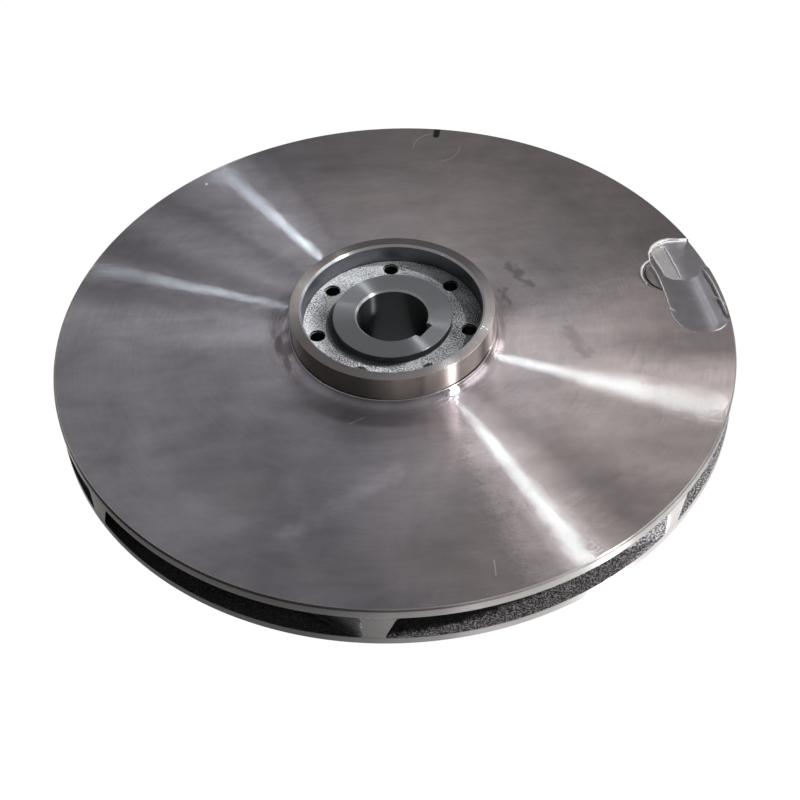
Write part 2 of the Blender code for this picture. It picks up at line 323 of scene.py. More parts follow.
def cut(item, tools):
    """Take the tools' volumes out of the item and remove the tools."""
    for tool in tools:
        modifier = item.modifiers.new(tool.name, "BOOLEAN")
        modifier.operation = "DIFFERENCE"
        modifier.solver = "EXACT"
        modifier.object = tool
    bpy.context.view_layer.update()
    graph = bpy.context.evaluated_depsgraph_get()
    baked = bpy.data.meshes.new_from_object(item.evaluated_get(graph))
    item.modifiers.clear()
    item.data = baked
    for tool in tools:
        bpy.data.objects.remove(tool)
    item.data.shade_smooth()
    item.data.set_sharp_from_angle(angle=math.radians(30))


def ceiling_height(radius):
    """Height of the back shroud's underside at a radius."""
    share = (OUTER_RADIUS - radius) / (OUTER_RADIUS - FLANGE_RADIUS)
    return CEILING_Z - CEILING_DROP * share


# Where the turn from the eye ends and the front shroud's cone begins
BEND_END_RADIUS = EYE_RADIUS + EYE_BEND * (1 - math.sin(FRONT_CONE))
BEND_END_Z = FRONT_FLOOR_Z - (OUTER_RADIUS - BEND_END_RADIUS) * math.tan(FRONT_CONE)
BEND_CENTRE = (EYE_RADIUS + EYE_BEND, BEND_END_Z - EYE_BEND * math.cos(FRONT_CONE))


def floor_height(radius):
    """Height of the front shroud's inner face at a radius."""
    if radius >= BEND_END_RADIUS:
        return FRONT_FLOOR_Z - (OUTER_RADIUS - radius) * math.tan(FRONT_CONE)
    return BEND_CENTRE[1] + math.sqrt(max(0.0, EYE_BEND ** 2 - (BEND_CENTRE[0] - radius) ** 2))


def opaque(colour):
    """A colour that a node takes: three numbers get a full fourth one, and a link stays as it is."""
    return (*colour, 1.0) if isinstance(colour, tuple) else colour


class Shader:
    """One metal's node tree, built with short calls; every coordinate is the object's own."""

    def __init__(self, name, metallic=1.0):
        self.material = bpy.data.materials.new(name)
        self.material.use_nodes = True
        self.tree = self.material.node_tree
        self.surface = self.tree.nodes["Principled BSDF"]
        self.surface.inputs["Metallic"].default_value = metallic
        self.position = self.tree.nodes.new("ShaderNodeTexCoord").outputs["Object"]
        parts = self.node("ShaderNodeSeparateXYZ", {"Vector": self.position})
        self.x, self.y, self.z = parts.outputs
        self.radius = self.value("SQRT", self.plus(self.times(self.x, self.x), self.times(self.y, self.y)))
        self.angle = self.value("ARCTAN2", self.y, self.x)
        self.facing = self.tree.nodes.new("ShaderNodeNewGeometry").outputs["Normal"]

    def node(self, kind, inputs, **properties):
        made = self.tree.nodes.new(kind)
        for key, setting in properties.items():
            setattr(made, key, setting)
        for key, given in inputs.items():
            if isinstance(given, bpy.types.NodeSocket):
                self.tree.links.new(given, made.inputs[key])
            else:
                made.inputs[key].default_value = given
        return made

    def value(self, operation, *inputs):
        return self.node("ShaderNodeMath", dict(enumerate(inputs)), operation=operation).outputs[0]

    def combine(self, *parts):
        return self.node("ShaderNodeCombineXYZ", dict(enumerate(parts))).outputs[0]

    def plus(self, first, second):
        return self.value("ADD", first, second)

    def minus(self, first, second):
        return self.value("SUBTRACT", first, second)

    def times(self, first, second):
        return self.value("MULTIPLY", first, second)

    def times_plus(self, first, second, third):
        return self.value("MULTIPLY_ADD", first, second, third)

    def fade(self, given, start, end, low=0.0, high=1.0):
        """A smooth step of the given value, from low at start to high at end."""
        inputs = {"Value": given, "From Min": start, "From Max": end, "To Min": low, "To Max": high}
        return self.node("ShaderNodeMapRange", inputs, interpolation_type="SMOOTHSTEP").outputs["Result"]

    def band(self, given, middle, half, soft):
        """One inside middle +- half, falling to nothing over the soft width beyond."""
        away = self.value("ABSOLUTE", self.minus(given, middle))
        return self.fade(away, half, half + soft, 1.0, 0.0)

    def clouds(self, vector, scale, detail=4.0, rough=0.55, warp=0.0):
        """Soft noise, from nothing to one."""
        inputs = {"Vector": vector, "Scale": scale, "Detail": detail}
        inputs |= {"Roughness": rough, "Distortion": warp}
        return self.node("ShaderNodeTexNoise", inputs).outputs["Fac"]

    def polar(self, around, inward, shift=0.0):
        """A vector for noise that is stretched round the shaft: wide steps round it, fine ones inward."""
        spin = self.times(self.value("COSINE", self.angle), around)
        turn = self.times(self.value("SINE", self.angle), around)
        depth = self.times_plus(self.plus(self.radius, self.z), inward, shift)
        return self.combine(spin, turn, depth)

    def mix(self, share, first, second):
        """The first colour where the share is nothing, passing to the second where it is one."""
        inputs = {0: share, 6: opaque(first), 7: opaque(second)}
        return self.node("ShaderNodeMix", inputs, data_type="RGBA").outputs[2]

    def tint(self, colour, amount):
        """The colour times a grey amount."""
        inputs = {0: 1.0, 6: opaque(colour), 7: self.combine(amount, amount, amount)}
        return self.node("ShaderNodeMix", inputs, data_type="RGBA", blend_type="MULTIPLY").outputs[2]

    def vector(self, operation, *inputs, **named):
        made = self.node("ShaderNodeVectorMath", {**dict(enumerate(inputs)), **named}, operation=operation)
        return made.outputs["Value" if operation in ("LENGTH", "DOT_PRODUCT") else "Vector"]

    def follow(self, across, around):
        """Set the two directions that the tool marks run by: across them and along them."""
        self.across, self.around = across, around

    def follow_turning(self):
        """Let the tool marks run round the shaft."""
        around = self.vector("NORMALIZE", self.combine(self.times(self.y, -1.0), self.x))
        self.follow(self.vector("CROSS_PRODUCT", around, self.facing), around)

    def lean(self, across, around):
        """The surface's direction, tipped by these slopes across and along the tool marks."""
        tipped = self.vector("ADD", self.facing, self.vector("SCALE", self.across, Scale=across))
        tipped = self.vector("ADD", tipped, self.vector("SCALE", self.around, Scale=around))
        return self.vector("NORMALIZE", tipped)

    def brushed(self, colour, roughness, slopes, waver=0.1, grit=0.03):
        """Marked metal: one reflecting layer for each slope that the tool left across its lines."""
        grains = self.minus(self.clouds(self.position, 900.0, 1.0, 0.5), 0.5)
        lines = self.minus(self.clouds(self.polar(20.0, 900.0, 5.0), 1.0, 1.0, 0.5), 0.5)
        around = self.times(grains, grit)
        for number, slope in enumerate(slopes, 1):
            layer = self.surface
            if number > 1:
                layer = self.tree.nodes.new("ShaderNodeBsdfPrincipled")
            if isinstance(slope, tuple):
                slope = self.fade(self.toward(FAR_AZIMUTH), *HALVES, *slope)
            normal = self.lean(self.times_plus(lines, waver, slope), around)
            self.fill(layer, colour, roughness, normal)
            self.tree.links.new(self.across, layer.inputs["Tangent"])
            layer.inputs["Metallic"].default_value = 1.0
            layer.inputs["Anisotropic"].default_value = 1.0
            if number == 1:
                mixed = layer.outputs[0]
            else:
                inputs = {0: 1.0 / number, 1: mixed, 2: layer.outputs[0]}
                mixed = self.node("ShaderNodeMixShader", inputs).outputs[0]
        self.tree.links.new(mixed, self.tree.nodes["Material Output"].inputs["Surface"])
        return self.material

    def toward(self, azimuth):
        """One where the surface lies towards this azimuth from the shaft, minus one on the far side."""
        return self.value("COSINE", self.minus(self.angle, math.radians(azimuth)))

    def from_place(self, place, stray=0.0):
        """The way from a place (mm) on the flat face to the shaded point, strayed (mm) for ragged marks."""
        flat = self.combine(self.x, self.y)
        if stray:
            inputs = {"Vector": self.position, "Scale": 140.0, "Detail": 3.0}
            swirl = self.node("ShaderNodeTexNoise", inputs).outputs["Color"]
            swirl = self.vector("SUBTRACT", swirl, (0.5, 0.5, 0.5))
            flat = self.vector("ADD", flat, self.vector("MULTIPLY", swirl, (stray * MM, stray * MM, 0.0)))
        return self.vector("SUBTRACT", flat, (place[0] * MM, place[1] * MM, 0.0))

    def stroke(self, start, end, half, soft):
        """One within half of the line from start to end (mm), falling off over soft; ragged if soft."""
        line = Vector((end[0] - start[0], end[1] - start[1], 0.0)) * MM
        reach = self.from_place(start, 14.0 if soft > 1.5 else 0.0)
        along = self.vector("DOT_PRODUCT", reach, tuple(line / line.length_squared))
        along = self.value("MINIMUM", self.value("MAXIMUM", along, 0.0), 1.0)
        nearest = self.vector("SCALE", tuple(line), Scale=along)
        away = self.vector("LENGTH", self.vector("SUBTRACT", reach, nearest))
        return self.fade(away, half * MM, (half + soft) * MM, 1.0, 0.0)

    def scratched_circle(self, middle, radius, azimuth):
        """A scratched circle that shows on two opposite sides."""
        reach = self.from_place(middle)
        away = self.vector("LENGTH", reach)
        turn = math.radians(azimuth)
        heading = (math.cos(turn) / (radius * MM), math.sin(turn) / (radius * MM), 0.0)
        side = self.value("ABSOLUTE", self.vector("DOT_PRODUCT", reach, heading))
        line = self.band(away, radius * MM, 0.15 * MM, 0.3 * MM)
        return self.times(line, self.fade(side, 0.6, 0.9))

    def bump(self, height, distance):
        """The surface's direction, tipped by an uneven skin of this depth in metres."""
        inputs = {"Height": height, "Distance": distance, "Strength": 1.0}
        return self.node("ShaderNodeBump", inputs).outputs["Normal"]

    def fill(self, layer, colour, roughness, normal=None):
        """Set or link a layer's colour, roughness and direction."""
        for key, given in (("Base Color", colour), ("Roughness", roughness), ("Normal", normal)):
            if isinstance(given, bpy.types.NodeSocket):
                self.tree.links.new(given, layer.inputs[key])
            elif given is not None:
                layer.inputs[key].default_value = given

    def finish(self, colour, roughness, normal=None):
        """The material, with a single layer."""
        self.fill(self.surface, colour, roughness, normal)
        return self.material


def face_tone(s, broad, smear):
    """Brightness of the turned face: clouds, wipes, tool lines, painted light and shade, painted glints and
    marks.
    """
    lines = s.clouds(s.polar(4.0, 900.0), 1.0, 3.0, 0.6)
    wiped = s.clouds(s.vector("MULTIPLY", s.position, (22.0, 75.0, 1.0)), 1.0, 4.0, 0.6, 0.3)
    amount = s.times_plus(broad, 0.5, 0.05)
    amount = s.times_plus(smear, 0.75, amount)
    amount = s.times_plus(wiped, 0.45, amount)
    amount = s.times_plus(lines, 0.2, amount)
    # Painted light: brighter towards the middle
    amount = s.times(amount, s.fade(s.radius, 0.078, 0.188, 1.7, 0.95))
    # Painted light and shade, broad by side and narrow along the streaks
    for azimuth, start, end, gain, inside, outside in FACE_PAINTED_LIGHT:
        side = s.fade(s.toward(azimuth), start, end, 0.0, gain - 1.0)
        side = s.times(side, s.fade(s.radius, inside * MM, outside * MM))
        amount = s.times(amount, s.plus(side, 1.0))
    grains = s.minus(s.clouds(s.position, 1000.0, 2.0, 0.7), 0.5)
    # Painted glints on the grains along the near streaks
    for azimuth in PAINTED_GLINT_AZIMUTHS:
        painted_glint = s.times(grains, s.fade(s.toward(azimuth), 0.9978, 0.9996, 0.0, 3.0))
        amount = s.times(amount, s.value("MAXIMUM", s.plus(painted_glint, 1.0), 0.3))
    for start, end, half, soft, gain in MARKS:
        mark = s.stroke(start, end, half, soft)
        amount = s.times(amount, s.times_plus(mark, gain - 1.0, 1.0))
    mark = s.scratched_circle(*SCRATCHED_CIRCLE)
    return s.times(amount, s.times_plus(mark, 0.7, 1.0))


def face_stain(s):
    """How much of the brown stain covers a point: a ragged ring at the ring's foot, most on the left."""
    ragged = s.fade(s.clouds(s.polar(3.0, 260.0, 3.0), 1.0, 5.0, 0.65), 0.42, 0.58)
    stain = s.times(s.band(s.radius, 0.0655, 0.003, 0.008), ragged)
    return s.times(stain, s.fade(s.toward(176.0), 0.70, 0.95, 0.05, 0.55))


def turned_face():
    """The back shroud's face: lines round the shaft, soft clouds, stains, scratches and painted light and
    shade.
    """
    s = Shader("turned_iron")
    s.follow_turning()
    broad = s.clouds(s.position, 7.0, 3.0, 0.5)
    smear = s.clouds(s.position, 24.0, 5.0, 0.62, 0.5)
    warmth = s.times_plus(s.x, 1.8, broad)
    colour = s.mix(s.fade(warmth, 0.30, 0.85), FACE_COOL, FACE_WARM)
    colour = s.tint(colour, face_tone(s, broad, smear))
    # Painted shade in the hollow at the ring's foot, on the near side
    hollow = s.fade(s.radius, 0.0745, 0.0785, 1.0, 0.0)
    hollow = s.times(hollow, s.fade(s.toward(256.0), 0.86, 0.98, 0.0, 0.38))
    colour = s.tint(colour, s.minus(1.0, hollow))
    stain = face_stain(s)
    colour = s.mix(stain, colour, STAIN_BROWN)
    for radius, gain in FACE_RIDGES:
        ridge = s.band(s.radius, radius * MM, 0.0003, 0.0012)
        ridge = s.times(ridge, s.fade(s.toward(88.0), 0.75, 0.95, 0.0, gain - 1.0))
        colour = s.tint(colour, s.plus(ridge, 1.0))
    rough = s.fade(s.radius, 0.080, 0.190, FACE_ROUGHNESS * 0.88, FACE_ROUGHNESS)
    rough = s.times_plus(smear, 0.02, rough)
    rough = s.times_plus(stain, 0.15, rough)
    return s.brushed(colour, rough, FACE_SLOPES, FACE_WAVER, FACE_GRIT)


def turned_metal(name, colour, dark, roughness, slopes=PLAIN_SLOPES, painted_light=()):
    """Cleaner turned iron for the ring, boss and rim, with painted light and shade by azimuth."""
    s = Shader(name)
    s.follow_turning()
    smear = s.clouds(s.position, 40.0, 4.0, 0.6, 0.4)
    lines = s.clouds(s.polar(3.0, 1600.0, 1.0), 1.0, 2.0, 0.6)
    tone = s.times_plus(lines, 0.35, s.times_plus(smear, 0.9, -0.15))
    paint = s.mix(tone, dark, colour)
    # Painted light and shade by azimuth, as gains on the colour
    for azimuth, start, end, gain in painted_light:
        paint = s.tint(paint, s.fade(s.toward(azimuth), start, end, 1.0, gain))
    return s.brushed(paint, roughness, slopes)


def passage_metal():
    """Sand-cast skin of the passages, speckled; painted shadow darkens them except near the outlets on the
    lit right side.
    """
    s = Shader("cast_iron", 0.2)
    grains = s.clouds(s.position, 1150.0, 2.0, 0.6)
    ragged = s.clouds(s.position, 250.0, 3.0, 0.6)
    paint = s.mix(s.fade(grains, 0.42, 0.68), (0.05, 0.048, 0.05), (0.68, 0.66, 0.67))
    # Painted light and shadow: lit only near the outlets, furthest in towards azimuth -35, dark on the left
    reach = s.times_plus(ragged, 0.010, s.radius)
    reach = s.times_plus(s.toward(-35.0), 0.033, reach)
    paint = s.tint(paint, s.fade(reach, 0.2185, 0.2235, 0.05, 1.0))
    return s.finish(paint, 0.5, s.bump(grains, 0.0005))


def blasted_metal():
    """The recess's floor: bright grains, more of them on the left as painted light, with painted shade in
    the corner at the boss and painted shadow of the ring on the right.
    """
    s = Shader("blasted_iron", 0.15)
    grains = s.clouds(s.position, 1250.0, 2.0, 0.6)
    broad = s.clouds(s.position, 70.0, 3.0, 0.5)
    share = s.times_plus(broad, 0.3, grains)
    # More bright grains towards the left: painted light
    share = s.plus(share, s.fade(s.toward(150.0), -0.6, 0.9, 0.0, 0.05))
    paint = s.mix(s.fade(share, 0.59, 0.70), (0.016, 0.016, 0.019), (0.80, 0.82, 0.86))
    # Painted shade in the corner at the boss
    for azimuth, start, end, inner, outer, depth in RECESS_PAINTED_SHADE:
        painted_shade = s.fade(s.radius, inner * MM, outer * MM, depth, 0.0)
        painted_shade = s.times(painted_shade, s.fade(s.toward(azimuth), start, end))
        paint = s.tint(paint, s.minus(1.0, painted_shade))
    # Painted shadow of the ring's wall on the right
    paint = s.tint(paint, s.fade(s.toward(15.0), -0.5, 0.9, 1.0, 0.52))
    return s.finish(paint, 0.45, s.bump(grains, 0.0006))


def milled_metal(name, colour, roughness, path):
    """A milled floor: the cutter's arcs follow one another along its path."""
    s = Shader(name)
    start, end = Vector(path[0]), Vector(path[1])
    ahead = (end - start).normalized()
    side = Vector((-ahead.y, ahead.x))
    offset = s.times_plus(s.x, side.x, -start.dot(side))
    offset = s.times_plus(s.y, side.y, offset)
    lean = s.value("DIVIDE", offset, MILL_RADIUS)
    lean = s.value("MINIMUM", s.value("MAXIMUM", lean, -0.9), 0.6)
    forward = s.value("SQRT", s.minus(1.0, s.times(lean, lean)))
    across = s.combine(*[s.times_plus(forward, ahead[i], s.times(lean, side[i])) for i in range(2)])
    s.follow(across, s.vector("CROSS_PRODUCT", s.facing, across))
    smear = s.clouds(s.position, 120.0, 4.0, 0.6)
    paint = s.tint(colour, s.times_plus(smear, 0.5, 0.75))
    return s.brushed(paint, roughness, (-0.3, 0.0, 0.3), 0.2, 0.08)


def plain_metal(name, colour, roughness, metallic=1.0):
    """Slightly mottled metal for the small surfaces."""
    s = Shader(name, metallic)
    smear = s.clouds(s.position, 400.0, 3.0, 0.6)
    paint = s.tint(colour, s.times_plus(smear, 0.4, 0.8))
    return s.finish(paint, roughness)


def set_materials(item, materials, pick):
    """Give each face the one of the materials that pick returns for its middle and normal."""
    item.data.materials.clear()
    for material in materials:
        item.data.materials.append(material)
    for face in item.data.polygons:
        face.material_index = materials.index(pick(face.center, face.normal))


def right_of(outline, line):
    """The part of an outline on the right of a line that runs from far to near."""
    start, end = Vector(line[0]), Vector(line[1])
    side = Vector((-(end - start).y, (end - start).x)).normalized()
    kept = []
    for i, point in enumerate(outline):
        here, there = Vector(point), Vector(outline[(i + 1) % len(outline)])
        depth, next_depth = side.dot(here - start), side.dot(there - start)
        if depth >= 0:
            kept.append(tuple(here))
        if depth * next_depth < 0:
            kept.append(tuple(here.lerp(there, depth / (depth - next_depth))))
    return kept


def joined(outlines, middle, inset):
    """The outline round several outlines that all hold the middle, drawn in by the inset."""
    result = []
    for turn in np.arange(180) * math.tau / 180:
        heading = Vector((math.cos(turn), math.sin(turn)))
        reach = 0.0
        for outline in outlines:
            for i, point in enumerate(outline):
                here = Vector(point) - middle
                edge = Vector(outline[(i + 1) % len(outline)]) - Vector(point)
                slant = heading.cross(edge)
                if abs(slant) < 1e-12:
                    continue
                share = here.cross(heading) / slant
                if 0 <= share <= 1:
                    reach = max(reach, here.cross(edge) / slant)
        result.append(tuple(middle + heading * (reach - inset)))
    return result


def tube(name, points, radius, sides=8):
    """A thin bead along some points, thickest in the middle and pointed at both ends."""
    vertices = [points[0]]
    last = len(points) - 1
    for i in range(1, last):
        ahead = (Vector(points[i + 1]) - Vector(points[i - 1])).normalized()
        side = ahead.cross(Vector((0, 0, 1))).normalized()
        thick = radius * (0.45 + 0.55 * math.sin(math.pi * i / last))
        for j in range(sides):
            turn = math.tau * j / sides
            outward = side * math.cos(turn) + Vector((0, 0, 1)) * math.sin(turn)
            vertices.append(Vector(points[i]) + thick * outward)
    vertices.append(points[-1])
    rows = len(points) - 2
    faces = []
    for j in range(sides):
        k = (j + 1) % sides
        faces.append((0, 1 + k, 1 + j))
        faces.append((len(vertices) - 1, 1 + (rows - 1) * sides + j, 1 + (rows - 1) * sides + k))
        for i in range(rows - 1):
            a, b = 1 + i * sides, 1 + (i + 1) * sides
            faces.append((a + j, a + k, b + k, b + j))
    return mesh_object(name, vertices, faces, 60)


def finish_piece(item, node):
    """Let the piece stand for a node of the frame, whose own mesh it hides, and hang it on the root."""
    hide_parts(node)
    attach(item, "root")


def slot_outline():
    """The slot's outline, counter-clockwise: its left side, near arc, right side and far arc."""
    left = [(x * MM, y * MM) for x, y in SLOT_LEFT]
    right = [(x * MM, y * MM) for x, y in SLOT_RIGHT]
    near = arc(*SLOT_NEAR, math.radians(182), math.radians(346), 40)
    far = arc(*SLOT_FAR, math.radians(60), math.radians(165), 30)
    return left + near + right + far


def mill_cutters():
    """The volumes that the milling cutter took out of the back shroud's face."""
    shapes = [capsule(*POCKET_OUT), circle(*POCKET_NEAR), circle(*POCKET_FAR)]
    middle = Vector(POCKET_MIDDLE)
    hair = 0.01 * MM
    cuts = [
        (circle(*PLUNGE), PLUNGE_DEPTH),
        (slot_outline(), SLOT_DEPTH),
        (joined(shapes, middle, 0.0), SLOT_DEPTH + hair),
        (right_of(joined(shapes, middle, hair), FIRST_LANE), LANE_DEPTH),
        (right_of(joined(shapes, middle, 2 * hair), SECOND_LANE), POCKET_DEPTH),
    ]
    top = BACK_FACE_Z + 5 * MM
    tools = []
    for i, (outline, depth) in enumerate(cuts):
        tools.append(prism("mill_%d" % i, outline, BACK_FACE_Z - depth, top + i * MM))
    return tools


def bead_line(name, points, level, radius, material, number=0, stray=0.25):
    """A bead along points (x, y) at a level, strayed a little (mm) in a way that the number sets."""
    strayed = []
    for x, y in points:
        point = Vector((x, y, level))
        swing = noise.noise_vector(point * 600 + Vector((number, 0, 0)))
        strayed.append(point + Vector((swing.x, swing.y, 0.5 * swing.z)) * stray * MM)
    bead = tube(name, strayed, radius)
    bead.data.materials.append(material)
    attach(bead, "root")


def make_beads(bright, dark):
    """Raised edges and burrs that the cutter left, and a dark bead of painted shadow along the plunge's
    lower edge.
    """
    top = BACK_FACE_Z - 0.05 * MM
    for number, (line, depth) in enumerate(((FIRST_LANE, SLOT_DEPTH), (SECOND_LANE, LANE_DEPTH))):
        start, end = Vector(line[0]), Vector(line[1])
        level = BACK_FACE_Z - depth + 0.1 * MM
        points = [start.lerp(end, 0.02 + 0.95 * i / 24) for i in range(25)]
        bead_line("lane_edge_%d" % number, points, level, BEAD_RADIUS, bright, number)
    sides = (("slot_burr_left", SLOT_LEFT, 0.52), ("slot_burr_right", SLOT_RIGHT[:4], 0.50))
    for name, corners, thick in sides:
        points = []
        for a, b in zip(corners, corners[1:]):
            points += [Vector(a).lerp(Vector(b), i / 8) * MM for i in range(8)]
        bead_line(name, points, top, thick * MM, bright, 7)
    arcs = (
        ("slot_burr_near", *SLOT_NEAR, 178, 224, 0.40, bright),
        ("slot_burr_lip", *SLOT_NEAR, 282, 318, 0.45, bright),
        ("rim_burr", (180.8 * MM, 4.0 * MM), 18.4 * MM, 14, 48, 0.35, bright),
        ("plunge_burr", (168.2 * MM, 39.1 * MM), PLUNGE[1], 122, 212, 0.95, bright),
        # Dark bead: painted shadow along the plunge's lower edge
        ("plunge_shadow", (170.2 * MM, 38.9 * MM), 15.1 * MM, 150, 248, 0.55, dark),
        ("pocket_burr", POCKET_FAR[0], 16.2 * MM, 70, 190, 1.15, bright),
        ("pocket_edge", POCKET_NEAR[0], POCKET_NEAR[1], 218, 250, 0.24, bright),
        ("notch_burr", (171.4 * MM, 12.0 * MM), 5.0 * MM, 195, 232, 0.35, bright),
    )
    for number, (name, middle, radius, start, end, thick, material) in enumerate(arcs):
        level = BACK_FACE_Z - SLOT_DEPTH if name in ("pocket_edge", "notch_burr") else top
        points = arc(middle, radius, math.radians(start), math.radians(end), 40)
        bead_line(name, points, level, thick * MM, material, number)


def make_back_shroud(face, rim, milled, edge):
    """Casting with its turned face; milled holds the slot, lane, pocket and wall metals."""
    slot, lane, pocket, wall = milled
    foot = (SHOULDER_RADIUS + SHOULDER_SPREAD, SEAT_Z)
    step = OUTER_RADIUS - RIM_STEP
    hollow = []
    for i in range(13):
        angle = math.radians(270 - 90 * i / 12)
        hollow.append((foot[0] + SHOULDER_SPREAD * math.cos(angle),
                       foot[1] + (SEAT_Z - BACK_FACE_Z) * math.sin(angle)))
    corners = [
        (RING_INNER_RADIUS, ceiling_height(RING_INNER_RADIUS)),
        (OUTER_RADIUS, ceiling_height(OUTER_RADIUS)),
        (OUTER_RADIUS, BACK_FACE_Z - RIM_STEP_HEIGHT),
        (step, BACK_FACE_Z - RIM_STEP_HEIGHT),
        (step, BACK_FACE_Z),
        *hollow,
        (RING_INNER_RADIUS, SEAT_Z),
    ]
    rounds = [0, 0.25 * MM, 0.25 * MM, 0.1 * MM, 0.3 * MM] + [0] * 12 + [0.3 * MM, 0]
    shroud = turned("back_shroud_casting", rounded(corners, rounds), RIM_SEGMENTS)
    cut(shroud, mill_cutters())

    def pick(centre, normal):
        radius = math.hypot(centre.x, centre.y)
        depth = BACK_FACE_Z - centre.z
        near = math.dist(centre.xy, MILLED_AREA[0]) < MILLED_AREA[1]
        if near and 0.05 * MM < depth < 4.0 * MM and radius < step - 0.1 * MM:
            if normal.z < 0.7:
                return wall
            if depth < 1.2 * MM:
                return face
            return slot if depth < 2.0 * MM else lane if depth < 2.5 * MM else pocket
        if normal.z > 0.9 and centre.z > SEAT_Z - 0.05 * MM and radius > RING_RADIUS - 0.1 * MM:
            return edge
        return rim if radius > step - 0.3 * MM and depth > 0.1 * MM else face

    set_materials(shroud, [face, rim, *milled, edge], pick)
    finish_piece(shroud, "back_shroud")


def hub_tools():
    """The volumes taken out of the hub: balance holes, the worn mouths of those that show, keyway."""
    tools = []
    for i in range(COUNT):
        angle = HOLE_START + PITCH * i
        place = (HOLE_CIRCLE * math.cos(angle), HOLE_CIRCLE * math.sin(angle))
        tools.append(prism("hole_%d" % i, circle(place, HOLE_RADIUS, 40), NOSE_Z, BOSS_Z + 5 * MM))
        if place[1] > NEAR_HOLES_Y:
            mouth = circle(place, HOLE_RADIUS + MOUTH_SPREAD, 36)
            tools.append(prism("mouth_%d" % i, mouth, FLOOR_Z - 1.2 * MM, BOSS_Z + 4 * MM))
    inside, outside, half = 10 * MM, BORE_RADIUS + KEYWAY_DEPTH, KEYWAY_WIDTH / 2
    keyway = [Vector(p) for p in ((inside, -half), (outside, -half), (outside, half), (inside, half))]
    turn = Matrix.Rotation(KEYWAY_ANGLE, 2)
    tools.append(prism("keyway", [tuple(turn @ p) for p in keyway], NOSE_Z - 5 * MM, BOSS_Z + 5 * MM))
    return tools


def make_hub(smooth, cast, bore, hole, edge):
    """Boss, rough recess floor with its holes, and the nose."""
    fillet = FLANGE_RADIUS - NOSE_RADIUS
    centre = (FLANGE_RADIUS, ceiling_height(FLANGE_RADIUS) - fillet)
    floor = [(r, FLOOR_Z) for r in np.arange(FLANGE_RADIUS - 0.6 * MM, BOSS_RADIUS + 0.3 * MM, -0.6 * MM)]
    profile = [
        (BORE_RADIUS, BOSS_Z - BORE_CHAMFER),
        (BORE_RADIUS, NOSE_Z + BORE_CHAMFER),
        (BORE_RADIUS + BORE_CHAMFER, NOSE_Z),
        (NOSE_RADIUS - 2 * MM, NOSE_Z),
        (NOSE_RADIUS, NOSE_Z + 2 * MM),
        *arc(centre, fillet, math.pi, math.pi / 2, 12),
        (FLANGE_RADIUS, FLOOR_Z),
        *floor,
        (BOSS_RADIUS, FLOOR_Z),
        (BOSS_RADIUS, BOSS_Z - 0.3 * MM),
        (BOSS_RADIUS - 0.3 * MM, BOSS_Z),
        (BORE_RADIUS + BORE_CHAMFER, BOSS_Z),
    ]
    hub = turned("hub_casting", profile, HUB_SEGMENTS)
    for vertex in hub.data.vertices:
        radius = math.hypot(vertex.co.x, vertex.co.y)
        on_floor = abs(vertex.co.z - FLOOR_Z) < 1e-6
        if on_floor and BOSS_RADIUS + 0.1 * MM < radius < FLANGE_RADIUS - 0.2 * MM:
            rise = 0.22 * noise.noise(vertex.co * 900) + 0.10 * noise.noise(vertex.co * 300)
            vertex.co.z += rise * MM
    cut(hub, hub_tools())

    def pick(centre, normal):
        radius = math.hypot(centre.x, centre.y)
        upright = abs(normal.z) < 0.3
        if radius < BORE_RADIUS + KEYWAY_DEPTH and upright:
            return bore
        if radius < BORE_RADIUS + BORE_CHAMFER and 0.3 < normal.z < 0.95:
            return edge
        if abs(radius - HOLE_CIRCLE) < HOLE_RADIUS + 0.5 * MM and upright and centre.z < FLOOR_Z:
            return cast if centre.y < NEAR_HOLES_Y else hole
        if abs(radius - BOSS_RADIUS) < 0.1 * MM and upright:
            return bore
        below = centre.z < BOSS_Z - 0.5 * MM and radius > BORE_RADIUS + KEYWAY_DEPTH
        return cast if below or radius > BOSS_RADIUS + 0.05 * MM else smooth

    set_materials(hub, [smooth, cast, bore, hole, edge], pick)
    finish_piece(hub, "hub")


def make_front_shroud(smooth, cast):
    """Suction neck and cone, with a rough floor where the passages open."""
    wall = NECK_RADIUS - EYE_RADIUS
    inner_arc = arc(BEND_CENTRE, EYE_BEND, math.pi, math.pi / 2 + FRONT_CONE, 16)
    outer_arc = arc(BEND_CENTRE, EYE_BEND - wall, math.pi, math.pi / 2 + FRONT_CONE, 14)
    rough = np.arange(OUTER_RADIUS - 1.2 * MM, OUTER_RADIUS - 38 * MM, -1.2 * MM)
    rough = [(r, floor_height(r)) for r in rough]
    profile = [
        (EYE_RADIUS, 0.0),
        (NECK_RADIUS, 0.0),
        *outer_arc,
        (OUTER_RADIUS - 0.3 * MM, RIM_LOW_Z),
        (OUTER_RADIUS, RIM_LOW_Z + 0.3 * MM),
        (OUTER_RADIUS, FRONT_FLOOR_Z - 0.2 * MM),
        (OUTER_RADIUS - 0.2 * MM, FRONT_FLOOR_Z),
        *rough,
        *reversed(inner_arc),
    ]
    shroud = turned("front_shroud_casting", profile, RIM_SEGMENTS * 2)
    for vertex in shroud.data.vertices:
        radius = math.hypot(vertex.co.x, vertex.co.y)
        on_floor = vertex.co.z > floor_height(radius) - 1e-5
        if on_floor and OUTER_RADIUS - 39 * MM < radius < OUTER_RADIUS - 0.6 * MM:
            vertex.co.z += 0.25 * MM * (noise.noise(vertex.co * 500) - 0.4)

    def pick(centre, normal):
        radius = math.hypot(centre.x, centre.y)
        floor = normal.z > 0.3 and radius < OUTER_RADIUS - 0.3 * MM
        eye = normal.z > -0.05 and radius < NECK_RADIUS - 1 * MM
        return cast if floor or eye else smooth

    set_materials(shroud, [smooth, cast], pick)
    finish_piece(shroud, "front_shroud")


